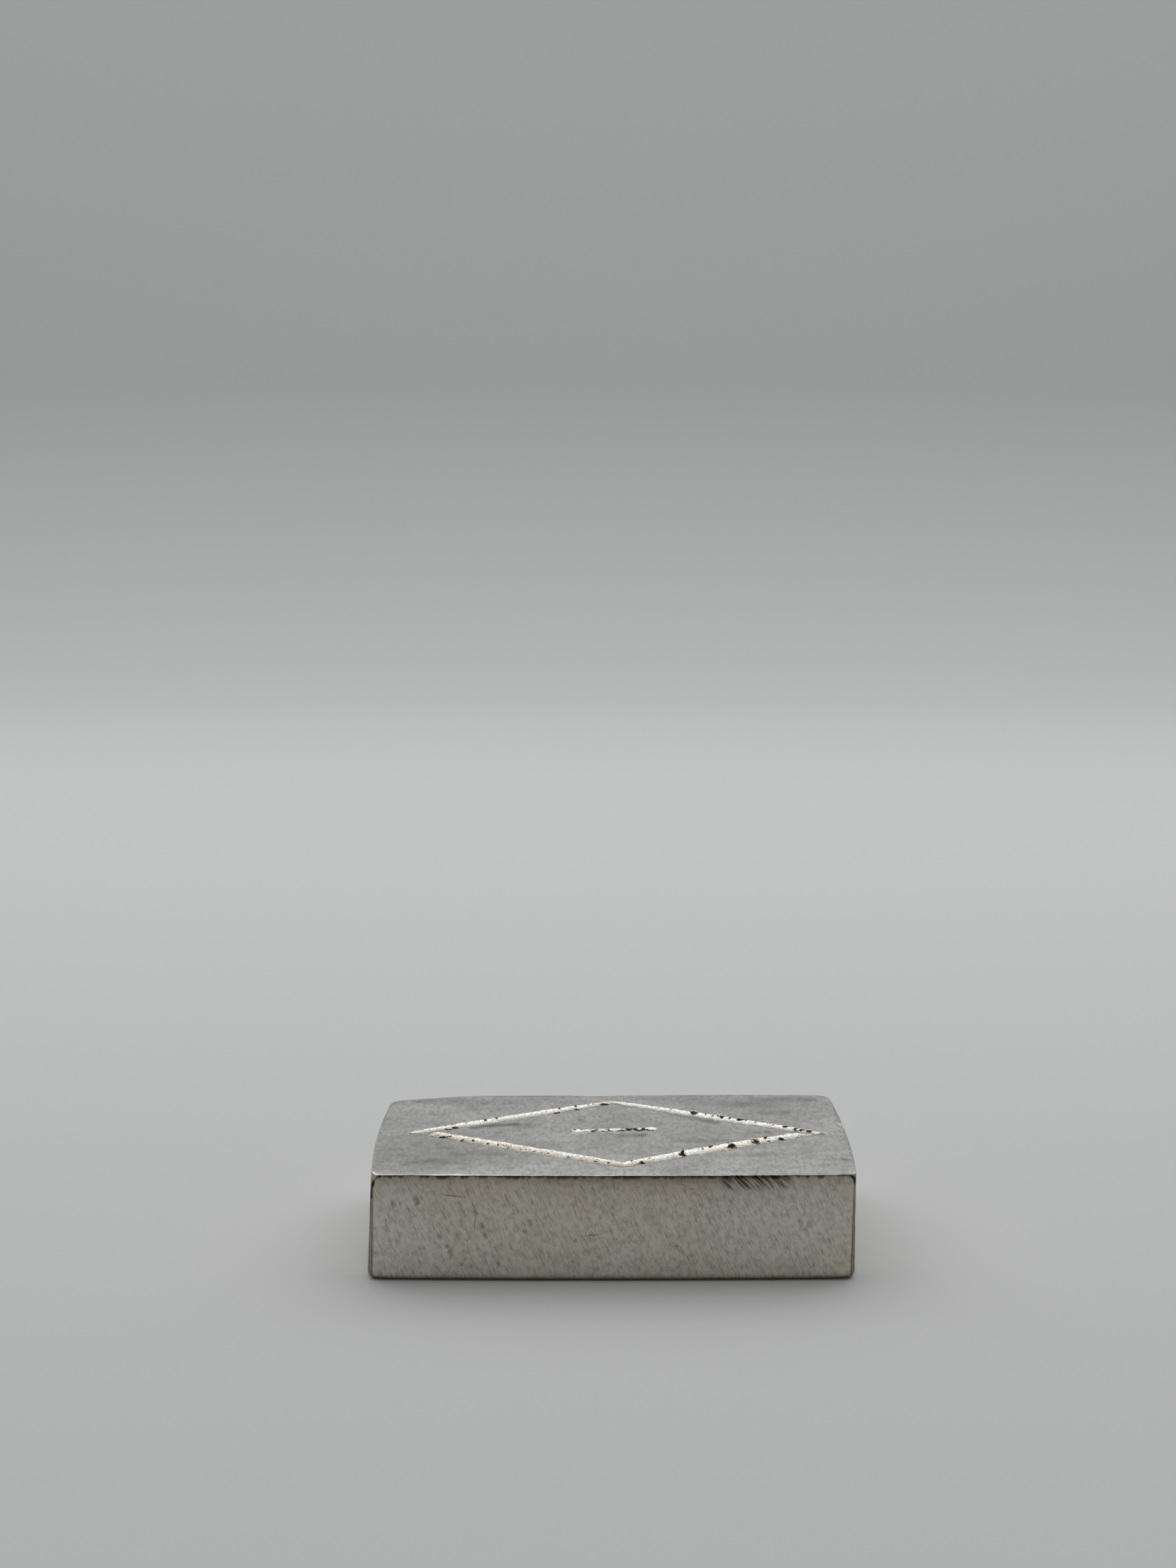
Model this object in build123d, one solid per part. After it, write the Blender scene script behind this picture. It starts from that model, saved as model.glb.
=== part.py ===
# A small cast metal bar: a low block with gently bowed sides, a little mould draft,
# rounded base edges and a lozenge cut into its flat top around one short straight cut.
# Sizes are in mm. X runs along the bar, +Y away from the front face, Z up from the base.
from build123d import *
from math import atan2, degrees, hypot, radians, tan
import os

# Body, with its plan sizes taken at the base over the bowed faces
LENGTH = 43.3
WIDTH = 23.7
HEIGHT = 9.55
END_CROWN = 0.40            # how far the middle of an end face stands out past its corners
SIDE_CROWN = 0.30           # the same for a long face
LEFT_DRAFT = 2.2            # lean of the left end, degrees
RIGHT_DRAFT = 0.2           # lean of the right end, degrees
SIDE_DRAFT = 1.2            # lean of the long faces, degrees
BACK_SLANT = 0.5            # how much nearer the front the back face is at its left end than at its right
FRONT_CORNER_RADIUS = 0.8
BACK_LEFT_RADIUS = 2.8
BACK_RIGHT_RADIUS = 1.4
BASE_EDGE_RADIUS = 0.55
TOP_EDGE_RADIUS = 0.12

# Lozenge on the top, measured to the middle of the cut
LOZENGE_LENGTH = 34.9
LOZENGE_WIDTH = 18.0
LOZENGE_SHIFT_X = 0.5       # set by hand, a little off the middle of the top
LOZENGE_SHIFT_Y = 0.3
CUT_NOSE_RADIUS = 1.50      # round nose of the tool
CUT_MID_DEPTH = 0.30        # depth half way along a stroke
CUT_END_DEPTH = 0.14        # depth where two strokes meet

# Short cut in the middle of the lozenge, running out to nothing at both ends
DASH_LENGTH = 7.8
DASH_DEPTH = 0.22
DASH_NOSE_RADIUS = 0.70
DASH_OFFSET = 0.5           # behind the middle of the lozenge
DASH_TILT = 3.5             # degrees from the bar's length

CLEAR = 2.0                 # how far cutting shapes stand past what they cut


def outline(level):
    """The bar's outline in plan at a height above the base, as a face."""
    left = -LENGTH / 2 + END_CROWN + level * tan(radians(LEFT_DRAFT))
    right = LENGTH / 2 - END_CROWN - level * tan(radians(RIGHT_DRAFT))
    side = WIDTH / 2 - SIDE_CROWN - level * tan(radians(SIDE_DRAFT))
    back_left = side - BACK_SLANT / 2
    back_right = side + BACK_SLANT / 2
    middle = (left + right) / 2
    edges = [
        ThreePointArc((left, -side), (middle, -side - SIDE_CROWN), (right, -side)),
        ThreePointArc((right, -side), (right + END_CROWN, 0), (right, back_right)),
        ThreePointArc((right, back_right), (middle, side + SIDE_CROWN), (left, back_left)),
        ThreePointArc((left, back_left), (left - END_CROWN, 0), (left, -side)),
    ]
    face = make_face(edges)
    front_corners = face.vertices().sort_by(Axis.Y)[:2]
    face = fillet(front_corners, FRONT_CORNER_RADIUS)
    left_corner = face.vertices().sort_by(lambda v: v.Y - v.X)[-1]
    face = fillet(left_corner, BACK_LEFT_RADIUS)
    right_corner = face.vertices().sort_by(lambda v: v.Y + v.X)[-1]
    face = fillet(right_corner, BACK_RIGHT_RADIUS)
    return Pos(0, 0, level) * face


def stroke(length, mid_depth, end_depth, nose):
    """A rocked tool stroke along X at the height of the top, deepest half way along."""
    rise = mid_depth - end_depth
    rocker = ((length / 2) ** 2 + rise ** 2) / (2 * rise)
    sweep_angle = 2 * degrees((length / 2 + CLEAR) / rocker)
    low = HEIGHT + nose - mid_depth
    pivot = Axis((0, 0, low + rocker), (0, 1, 0))
    section = Pos(0, 0, low) * (Plane.YZ * Circle(nose))
    arc = revolve(section, pivot, revolution_arc=sweep_angle)
    return arc.rotate(pivot, -sweep_angle / 2)


# Body with its edges eased
body = loft([outline(0), outline(HEIGHT)], ruled=True)
base_edges = body.faces().sort_by(Axis.Z)[0].edges()
body = fillet(base_edges, BASE_EDGE_RADIUS)
top_edges = body.faces().sort_by(Axis.Z)[-1].edges()
body = fillet(top_edges, TOP_EDGE_RADIUS)

# Four strokes, each kept to its own quarter of the top so that they meet on the diagonals
half_x = LOZENGE_LENGTH / 2
half_y = LOZENGE_WIDTH / 2
side_cut = stroke(hypot(half_x, half_y), CUT_MID_DEPTH, CUT_END_DEPTH, CUT_NOSE_RADIUS)
side_angle = degrees(atan2(half_y, half_x))
quarter = Pos(0, 0, HEIGHT) * Box(LENGTH, WIDTH, 2 * CLEAR, align=(Align.MIN, Align.MIN, Align.CENTER))
back_right_side = (Pos(half_x / 2, half_y / 2, 0) * Rot(0, 0, -side_angle) * side_cut) & quarter
back_left_side = mirror(back_right_side, about=Plane.YZ)
front_right_side = mirror(back_right_side, about=Plane.XZ)
front_left_side = mirror(front_right_side, about=Plane.YZ)
lozenge = [back_right_side, back_left_side, front_right_side, front_left_side]

dash = stroke(DASH_LENGTH, DASH_DEPTH, 0, DASH_NOSE_RADIUS)
dash = Pos(0, DASH_OFFSET, 0) * Rot(0, 0, DASH_TILT) * dash

ingot = body
for cut in lozenge + [dash]:
    ingot = ingot - Pos(LOZENGE_SHIFT_X, LOZENGE_SHIFT_Y, 0) * cut

os.makedirs("parts", exist_ok=True)
export_step(ingot, "parts/ingot.step")
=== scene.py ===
"""Dresses a small cast silver bar, filed flat on top and cut there with a lozenge.

Sizes are in millimetres and turn into metres where Blender takes them. X runs along the bar,
+Y away from its front face, and Z up from the surface that it lies on.
"""

import logging
import math
from dataclasses import dataclass, field
from enum import Enum
from typing import Any, Mapping

import bpy
import numpy as np
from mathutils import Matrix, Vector
from mathutils.geometry import delaunay_2d_cdt

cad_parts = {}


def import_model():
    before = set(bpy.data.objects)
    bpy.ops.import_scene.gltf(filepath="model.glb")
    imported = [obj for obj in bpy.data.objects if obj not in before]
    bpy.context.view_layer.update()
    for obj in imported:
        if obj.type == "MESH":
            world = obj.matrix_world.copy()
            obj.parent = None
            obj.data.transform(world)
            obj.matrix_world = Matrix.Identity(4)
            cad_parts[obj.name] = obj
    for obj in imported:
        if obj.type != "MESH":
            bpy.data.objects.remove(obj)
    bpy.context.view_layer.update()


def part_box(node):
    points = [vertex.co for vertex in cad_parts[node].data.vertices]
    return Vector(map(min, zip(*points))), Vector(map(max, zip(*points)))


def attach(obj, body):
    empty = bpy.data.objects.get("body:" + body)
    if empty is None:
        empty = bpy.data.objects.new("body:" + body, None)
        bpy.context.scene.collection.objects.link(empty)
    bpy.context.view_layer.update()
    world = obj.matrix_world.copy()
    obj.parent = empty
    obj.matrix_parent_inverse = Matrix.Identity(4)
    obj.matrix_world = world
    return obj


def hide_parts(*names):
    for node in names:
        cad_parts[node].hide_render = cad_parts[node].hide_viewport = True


MM = 0.001
NODE = "ingot"
BODY = "root"
IMAGE_HEIGHT = 2212
BARE_DEPTH = 0.02    # a cut this deep has lost all of the filed face

log = logging.getLogger("ingot")


class Trace(Enum):
    """What the mould, tools and handling left, with painted shade and highlights, kept at each point of the
    mesh as a share from 0.
    """

    CUT = "cut"          # bare metal inside a graver stroke
    STAIN_AND_SHADE = "stain_and_shade"      # oxide and dirt, with painted shade in the cuts and below the top edges, warm where it is thin and dark where it is thick
    SMUDGE = "smudge"    # dull grey marks of handling
    WORN_AND_HIGHLIGHT = "worn_and_highlight"        # burrs and corners rubbed bright, and a painted highlight along the front top edge
    COOL = "cool"        # patches where the cast skin is bluish
    HATCH = "hatch"      # where a file scraped the front face


class Side(Enum):
    """The long and short faces, in the order that the outline goes round them."""

    FRONT = 0
    RIGHT = 1
    BACK = 2
    LEFT = 3


def linear(colour: str) -> tuple[float, float, float, float]:
    """Turns an sRGB hex colour into the linear one that shaders take.

    Args:
        colour: six hex digits after a hash.

    Returns:
        Red, green, blue and an alpha of 1.
    """
    shares = [int(colour[i:i + 2], 16) / 255 for i in (1, 3, 5)]
    red, green, blue = (s / 12.92 if s <= 0.04045 else ((s + 0.055) / 1.055) ** 2.4 for s in shares)
    return red, green, blue, 1.0


def per_size(*sizes: float) -> tuple[float, ...]:
    """Gives the pattern scale, per metre, at which one cell of a pattern has these sizes in mm."""
    return tuple(1 / (size * MM) for size in sizes)


def add_node(
    tree: bpy.types.NodeTree,
    kind: str,
    inputs: Mapping[str | int, Any] | None = None,
    **settings: Any,
) -> bpy.types.Node:
    """Adds a node with its settings and links.

    Args:
        tree: the node tree that takes it.
        kind: the node's Blender type.
        inputs: for each socket, by name or place, a value or the output socket that feeds it.
        settings: the node's own properties.

    Returns:
        The node.
    """
    node = tree.nodes.new(kind)
    for name, value in settings.items():
        setattr(node, name, value)
    for socket, source in (inputs or {}).items():
        if isinstance(source, bpy.types.NodeSocket):
            tree.links.new(source, node.inputs[socket])
        else:
            node.inputs[socket].default_value = source
    return node


def bell(distance: np.ndarray, width: float) -> np.ndarray:
    """A smooth hump of height 1 that falls away over about its width on either side."""
    return np.exp(-(distance / width) ** 2)


@dataclass(frozen=True)
class Unevenness:
    """Random waviness, made of plane waves that run in seeded directions."""

    size: float
    height: float
    seed: int
    stretch: tuple[float, float, float] = (1.0, 1.0, 1.0)
    waves: int = 36

    def at(self, points: np.ndarray) -> np.ndarray:
        """Gives the waviness at some places.

        Args:
            points: one row of coordinates for each place.

        Returns:
            A height for each place, mostly between minus and plus `height`.
        """
        rng = np.random.default_rng(self.seed)
        ways = rng.normal(size=(self.waves, 3))
        ways /= np.linalg.norm(ways, axis=1)[:, None]
        lengths = self.size * rng.uniform(0.8, 2.2, self.waves)
        phases = rng.uniform(0, math.tau, self.waves)
        vectors = math.tau * ways / lengths[:, None] / np.array(self.stretch)
        total = np.zeros(len(points))
        for vector, phase in zip(vectors, phases):
            total += np.sin(points @ vector[:points.shape[1]] + phase)
        return self.height * total / math.sqrt(2 * self.waves)


@dataclass(frozen=True)
class Mark:
    """A spot, or a smear from one place to another, that fades towards its rim."""

    start: tuple[float, float, float]
    end: tuple[float, float, float]
    breadth: float
    strength: float = 1.0

    def at(self, points: np.ndarray) -> np.ndarray:
        """Gives the mark's strength at some places.

        Args:
            points: one row of three coordinates for each place.

        Returns:
            The full strength on the line from start to end, and 0 past the breadth from it.
        """
        first = np.array(self.start)
        run = np.array(self.end) - first
        share = np.clip((points - first) @ run / max(run @ run, 1e-9), 0, 1)
        gap = np.linalg.norm(points - first - share[:, None] * run, axis=1)
        return self.strength * np.clip(1 - (gap / self.breadth) ** 2, 0, 1)


@dataclass(frozen=True)
class Furrow:
    """What tool strokes did to some places, with a value for each of them."""

    depth: np.ndarray     # 0 outside the cut
    burr: np.ndarray      # height of the metal thrown up beside it
    oxide_and_shade: np.ndarray     # how thick the oxide and painted shade are
    dull: np.ndarray      # how dull the bare metal is


@dataclass(frozen=True)
class Stroke:
    """One push of a round-nosed graver over the top, deepest half way along."""

    start: tuple[float, float]
    end: tuple[float, float]
    mid_depth: float
    end_depth: float
    seed: int
    nose: float = 1.50
    run_out: float = 0.45          # how far it trails off past either end
    chatter: float = 0.012         # height of the steps that the tool leaves
    late_chatter: float = 0.0      # how much higher they are at the end of the stroke
    chatter_pitch: float = 0.30
    grain: float = 0.016           # height of the torn grain inside the cut
    wander: float = 0.07           # how far the hand strays from a straight line
    hook: float = 0.0              # how far it bends to the right of that line by its end
    lip: float = 0.014             # height of the burr along both rims
    dirt_and_shade: float = 0.3              # share of the cut's bed that has kept its oxide and painted shade
    specks: float = 1.0            # how many dark specks its far wall has
    speck_place: float = 0.97      # how far up that wall they lie
    band: float = 1.25             # half the width of the strip that may be cut

    @property
    def length(self) -> float:
        """The distance from start to end."""
        return math.dist(self.start, self.end)

    def along_across(self, plan: np.ndarray) -> tuple[np.ndarray, np.ndarray]:
        """Gives how far some places lie along the stroke and to the left of it.

        Args:
            plan: one row of x and y for each place.

        Returns:
            The distances along and across.
        """
        way = (np.array(self.end) - np.array(self.start)) / self.length
        offset = plan - np.array(self.start)
        return offset @ way, offset @ np.array([-way[1], way[0]])

    def covers(self, plan: np.ndarray, margin: float = 0.0) -> np.ndarray:
        """Tells which places lie in the stroke's strip.

        Args:
            plan: one row of x and y for each place.
            margin: how much wider and longer the strip is taken.

        Returns:
            True for each place inside.
        """
        along, across = self.along_across(plan)
        reach = self.run_out + margin
        inside = (along > -reach) & (along < self.length + reach)
        return inside & (np.abs(across) < self.band + margin)

    def lattice(self, step: float) -> np.ndarray:
        """Lays points along the stroke for its mesh.

        Args:
            step: the distance between neighbours.

        Returns:
            One row of x and y for each point, in staggered rows.
        """
        way = (np.array(self.end) - np.array(self.start)) / self.length
        rise = step * math.sqrt(0.75)
        rows = np.arange(-self.band, self.band, rise)
        columns = np.arange(-self.run_out, self.length + self.run_out, step)
        along = columns[None, :] + 0.5 * step * (np.arange(len(rows)) % 2)[:, None]
        across = np.broadcast_to(rows[:, None], along.shape)
        plan = np.array(self.start) + along.reshape(-1, 1) * way
        return plan + across.reshape(-1, 1) * np.array([-way[1], way[0]])

    def rocked_depth(self, along: np.ndarray) -> np.ndarray:
        """Gives how deep the tool went, by the distance along the stroke.

        Args:
            along: the distance of each place.

        Returns:
            A depth for each place, which trails off past both ends.
        """
        share = np.clip(along / self.length, 0, 1)
        depth = self.end_depth + (self.mid_depth - self.end_depth) * (1 - (2 * share - 1) ** 2)
        past = np.maximum(0, np.maximum(-along, along - self.length))
        depth = depth * np.clip(1 - past / self.run_out, 0, 1) ** 2
        return depth * (1 + Unevenness(1.1, 0.16, self.seed).at(along[:, None]))

    def furrow(self, plan: np.ndarray) -> Furrow:
        """Works out what the stroke did to some places.

        Args:
            plan: one row of x and y for each place.

        Returns:
            Its depth, burr, oxide with painted shade, and dullness there.
        """
        along, across = self.along_across(plan)
        line = along[:, None]
        share = np.clip(along / self.length, 0, 1)
        depth = self.rocked_depth(along)
        across = across + Unevenness(2.4, self.wander, self.seed + 1).at(line) + self.hook * share ** 4

        # The nose's round section, with the tool's steps and the torn grain on it
        beat = (along + 0.3 * across) / self.chatter_pitch + Unevenness(1.6, 0.5, self.seed + 2).at(line)
        beat = beat % 1
        step_height = self.chatter + self.late_chatter * np.clip(3 * share - 2, 0, 1)
        grain = Unevenness(0.17, self.grain, self.seed + 3).at(plan)
        nose_rise = self.nose - np.sqrt(self.nose ** 2 - np.minimum(across ** 2, 0.95 * self.nose ** 2))
        cut = depth - nose_rise
        tearing = step_height * (beat - 0.5) + grain
        cut = np.where(cut > 0, cut + tearing * np.clip(cut / 0.05, 0, 1), 0)

        half_width = np.sqrt(np.maximum(0, 2 * self.nose * depth - depth ** 2))
        beyond = np.abs(across) - half_width
        ragged = np.clip(0.55 + Unevenness(0.5, 0.6, self.seed + 4).at(plan), 0, 1.2)
        burr = self.lip * ragged * bell(beyond - 0.03, 0.07) * np.clip(depth / 0.1, 0, 1)

        # Oxide with painted shade lies in the bed, thicker in the tool's steps, and in specks up the far
        # wall
        up_wall = across / np.maximum(half_width, 0.05)
        bed = np.clip((0.75 + 0.3 * self.dirt_and_shade - up_wall + 0.25 * grain / self.grain) / 0.45, 0, 1)
        bed = bed * np.clip(cut / BARE_DEPTH, 0, 1) * np.clip((1 + up_wall) / 0.45, 0, 1)
        teeth = np.clip(1.5 - 2.2 * np.abs(beat - 0.5), 0.2, 1)
        spread = 0.8 * Unevenness(2.2, 1.0, self.seed + 5).at(plan) + 2 * self.dirt_and_shade - 0.5
        # painted shade: the bed's film darkens in the valleys between the tool's steps, and the specks
        # darken the far wall
        film_and_shade = 0.55 * bed * np.clip(spread, 0, 1) * teeth
        dull = (0.45 + 0.4 * self.dirt_and_shade) * bed * (0.6 + 0.4 * teeth)
        specks = 2 * np.clip(4 * Unevenness(0.4, 1.0, self.seed + 6).at(plan) - 2.8 + self.specks, 0, 1)
        specks = specks * bell(up_wall - self.speck_place, 0.22) * np.clip(depth / 0.05, 0, 1)
        return Furrow(np.maximum(cut, 0), burr, np.maximum(film_and_shade, specks), dull)


@dataclass(frozen=True)
class Engraving:
    """The lozenge of four strokes on the top, with one straight cut of short taps inside it."""

    left: tuple[float, float] = (-17.1, 0.20)
    left_tip: tuple[float, float] = (-17.9, 0.05)     # the back strokes overrun the front ones
    right: tuple[float, float] = (18.1, 0.25)
    right_tip: tuple[float, float] = (18.95, -0.19)
    back: tuple[float, float] = (0.42, 9.32)
    front: tuple[float, float] = (1.0, -8.92)
    dash_start: tuple[float, float] = (-3.5, 0.55)
    dash_end: tuple[float, float] = (4.25, 1.05)
    taps: int = 7

    def strokes(self) -> list[Stroke]:
        """Lists the strokes in the order that they were cut."""
        lozenge = [
            Stroke(self.left_tip, self.back, 0.22, 0.10, seed=110, dirt_and_shade=0.40, run_out=0.5),
            Stroke(
                self.back, self.right_tip, 0.22, 0.10, seed=120, dirt_and_shade=0.34, run_out=0.5,
                late_chatter=0.04, specks=0.5,
            ),
            Stroke(self.left, self.front, 0.28, 0.15, seed=130, dirt_and_shade=0.75, specks=1.3, speck_place=0.5),
            Stroke(self.front, self.right, 0.28, 0.15, seed=140, dirt_and_shade=0.36, late_chatter=0.04, hook=0.5),
        ]
        return lozenge + self.dash()

    def dash(self) -> list[Stroke]:
        """Lists the short overlapping taps that make up the straight cut in the middle."""
        first = np.array(self.dash_start)
        run = np.array(self.dash_end) - first
        rng = np.random.default_rng(150)
        made = []
        for tap in range(self.taps):
            begin = first + run * (tap / self.taps) + rng.uniform(-0.07, 0.07, 2)
            finish = first + run * ((tap + 1.15) / self.taps) + rng.uniform(-0.07, 0.07, 2)
            made.append(Stroke(
                tuple(begin), tuple(finish), rng.uniform(0.11, 0.19), 0.03, seed=160 + 10 * tap,
                nose=0.80, run_out=0.2, chatter=0.008, wander=0.03, lip=0.035, dirt_and_shade=0.3, band=0.75,
            ))
        return made


@dataclass(frozen=True)
class Handling:
    """Pits, smudges, stains, painted shade and highlights, and nicks, placed as they lie on the bar."""

    top: float
    front: float

    def pits(self) -> list[Mark]:
        """Small holes along the cuts, with the depth of each as its strength."""
        spots = (
            (-14.9, 1.6, 0.30), (-14.3, 2.1, 0.26), (-5.0, 6.7, 0.34), (-3.1, 7.7, 0.24),
            (-0.5, 9.0, 0.34), (7.8, 6.4, 0.28), (10.4, 5.15, 0.24), (12.2, 4.2, 0.26), (16.2, 2.1, 0.26),
            (17.0, 1.3, 0.22), (17.6, 1.1, 0.20), (18.2, 0.7, 0.22), (19.1, -0.1, 0.24),
            (-18.2, 0.1, 0.24), (-16.4, -0.3, 0.24), (-15.4, -0.5, 0.28), (-13.6, -1.5, 0.22),
            (2.6, -7.7, 0.22), (6.3, -5.4, 0.30), (10.9, -3.1, 0.36), (13.1, -2.0, 0.36),
            (14.4, -1.6, 0.26), (15.5, -1.0, 0.26),
        )
        return [Mark((x, y, self.top), (x + 0.2, y - 0.05, self.top), size, 0.13) for x, y, size in spots]

    def smudges(self) -> list[Mark]:
        """Soft grey smudges and smears on the filed face."""
        runs = (
            (-17.9, -8.1, -14.7, -7.9, 1.5, 0.60), (-13.7, -6.0, -9.7, -5.9, 1.1, 0.60),
            (-19.5, -5.5, -12.5, -5.4, 6.0, 0.38), (-19.0, -4.0, -17.0, -3.9, 3.6, 0.30),
            (-12.6, 1.8, -8.7, 2.6, 0.7, 0.95), (-8.5, 1.9, -7.3, 2.0, 0.7, 0.40),
            (-18.4, 9.4, -16.8, 9.5, 0.8, 0.34), (-15.0, 9.5, -9.0, 9.6, 1.2, 0.24),
            (-8.0, -3.4, -5.0, -3.3, 1.4, 0.26), (1.1, -0.8, 3.2, -0.6, 0.7, 0.60),
            (5.9, 5.8, 9.8, 3.0, 0.6, 0.60), (13.8, 10.2, 19.4, 10.2, 0.9, 0.42),
            (14.6, 6.1, 16.4, 6.1, 0.9, 0.60), (12.6, 4.1, 13.5, 4.1, 0.6, 0.50),
            (11.2, 8.6, 15.2, 8.5, 1.2, 0.42), (6.5, -2.1, 10.7, -2.2, 0.7, 0.45),
            (10.1, -6.2, 14.4, -6.2, 0.6, 0.36), (20.5, -7.4, 20.9, -7.7, 0.6, 0.45),
        )
        dots = (
            (-11.9, 8.9), (-7.7, 2.5), (-10.2, 0.2), (-8.8, -9.6), (-13.1, -9.8), (-2.7, 3.9),
            (14.4, 0.3), (13.5, 0.1), (-17.4, -8.2), (-16.2, -8.2), (-15.7, -7.5), (-13.0, -6.2),
            (-11.5, -5.8), (-18.6, -6.3),
        )
        smears = [
            Mark((x0, y0, self.top), (x1, y1, self.top), breadth, strength)
            for x0, y0, x1, y1, breadth, strength in runs
        ]
        return smears + [Mark((x, y, self.top), (x + 0.1, y, self.top), 0.45, 0.7) for x, y in dots]

    def cut_stains_and_shade(self) -> list[Mark]:
        """Dark oxide and painted shade in the pits, where strokes cross, and along the bed of the straight
        cut.
        """
        runs = (
            (2.0, -8.3, 3.9, -7.3, 0.40, 0.7), (-0.5, 9.0, 0.0, 9.2, 0.30, 0.8),
            (-1.6, 0.78, -1.3, 0.80, 0.26, 2.0), (-0.6, 0.84, 0.1, 0.88, 0.24, 1.6),
            (0.75, 0.93, 1.85, 1.0, 0.28, 2.0), (2.2, 1.02, 2.95, 1.07, 0.26, 2.0),
            (3.25, 1.08, 3.9, 1.13, 0.26, 2.0),
        )
        rims = [
            Mark((x0, y0, self.top), (x1, y1, self.top), breadth, strength)
            for x0, y0, x1, y1, breadth, strength in runs
        ]
        pits = [Mark(mark.start, mark.end, 1.1 * mark.breadth, 2.2) for mark in self.pits()]
        return rims + pits

    def front_stains(self) -> list[Mark]:
        """Darker places in the cast skin of the front face, and dark lines under its upper corners."""
        spots = (
            (-18.9, 7.0, 0.24, 0.34), (-16.9, 7.3, 0.28, 0.38), (-17.1, 7.9, 0.50, 0.12),
            (-11.8, 6.3, 0.20, 0.42), (-11.2, 5.1, 0.22, 0.38), (-11.0, 4.3, 0.18, 0.34),
            (-15.0, 4.2, 0.22, 0.22), (-14.4, 3.4, 0.18, 0.26), (-14.0, 2.6, 0.20, 0.34),
            (-13.4, 4.1, 0.16, 0.22), (-7.1, 5.4, 0.24, 0.26), (-9.9, 1.7, 0.22, 0.22),
            (16.3, 5.4, 0.22, 0.32), (17.0, 5.1, 0.20, 0.32), (13.4, 7.2, 0.22, 0.22),
            (12.1, 4.4, 0.26, 0.2),
        )
        left_turn = ((-19.95, 9.34), (-20.2, 9.24), (-20.5, 8.9), (-20.68, 8.4), (-20.82, 7.4))
        right_turn = ((19.9, 9.42), (20.7, 9.36), (21.0, 9.05), (21.08, 8.6))
        lines = [
            Mark((x0, self.front, z0), (x1, self.front, z1), 0.16, 0.8)
            for turn in (left_turn, right_turn)
            for (x0, z0), (x1, z1) in zip(turn, turn[1:])
        ]
        return lines + [
            Mark((x, self.front, z), (x + 0.15, self.front, z - 0.3), breadth, strength)
            for x, z, breadth, strength in spots
        ]

    def cool_patches(self) -> list[Mark]:
        """Places on the front face where the cast skin is bluish grey."""
        return [
            Mark((-19.6, self.front, 6.0), (-18.2, self.front, 3.2), 4.2, 0.75),
            Mark((11.5, self.front, 5.6), (16.5, self.front, 5.4), 4.2, 0.8),
        ]

    def edge_wear_and_highlight(self, along: np.ndarray) -> np.ndarray:
        """Gives how bright the front top edge was rubbed and painted as a highlight, by the distance along
        the bar.
        """
        places = (-21.6, -14.0, -12.0, -8.0, 9.0, 10.0, 11.8, 12.4, 15.8, 16.5, 18.5, 19.0, 21.6)
        shine = (0.7, 0.34, 0.3, 0.25, 0.25, 0.4, 0.4, 0.15, 0.15, 0.35, 0.35, 0.2, 0.3)
        return np.interp(along, places, shine)

    def edge_oxide_and_shade(self, along: np.ndarray) -> np.ndarray:
        """Gives how far oxide and painted shade reach down from the front top edge, by the distance along
        the bar.
        """
        places = (-21.6, -14.8, -14.0, -13.2, -10.5, -7.0, -5.5, -4.0, 3.0, 9.0, 10.5, 12.0, 15.0, 21.6)
        reach = (0.20, 0.20, 0.27, 0.20, 0.21, 0.21, 0.28, 0.26, 0.30, 0.32, 0.42, 0.36, 0.20, 0.14)
        return np.interp(along, places, reach)

    def hatching(self) -> Mark:
        """The strip under the front edge that a file scraped."""
        return Mark((10.3, self.front, 9.1), (14.6, self.front, 9.0), 1.05)


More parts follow.
